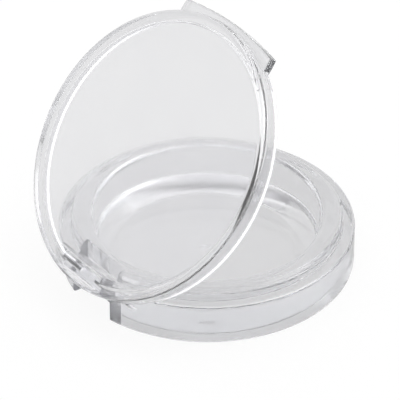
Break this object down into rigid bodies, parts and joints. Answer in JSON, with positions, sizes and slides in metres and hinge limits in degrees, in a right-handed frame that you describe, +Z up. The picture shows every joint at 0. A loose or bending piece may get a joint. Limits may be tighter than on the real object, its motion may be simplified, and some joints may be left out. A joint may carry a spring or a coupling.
{
  "type": "pocket palette pot",
  "caption": "Round clear pocket palette: thick-walled pot with a mixing well, closed by a hinged clear lid with a thumb lip.",
  "frame": {"origin": "centre of the pot's flat underside", "axes": "+Z up along the pot's axis, +Y towards the hinge, -Y towards the thumb lip, +X along the hinge axis"},
  "size_m": [0.06, 0.0639, 0.0547],
  "materials": {
    "clear_plastic": "clear polished polystyrene",
    "pin_steel": "drawn stainless wire"
  },
  "bodies": {
    "pot_body": {"pot": "clear_plastic", "hinge_pin_left": "pin_steel", "hinge_pin_right": "pin_steel"},
    "lid_body": {"lid": "clear_plastic"}
  },
  "joints": [
    {"name": "lid_hinge", "type": "hinge", "parent": "pot_body", "child": "lid_body", "pos_m": [0, 0.0276, 0.0061], "axis": [-1, 0, 0], "range_deg": [-51, 49]}
  ]
}
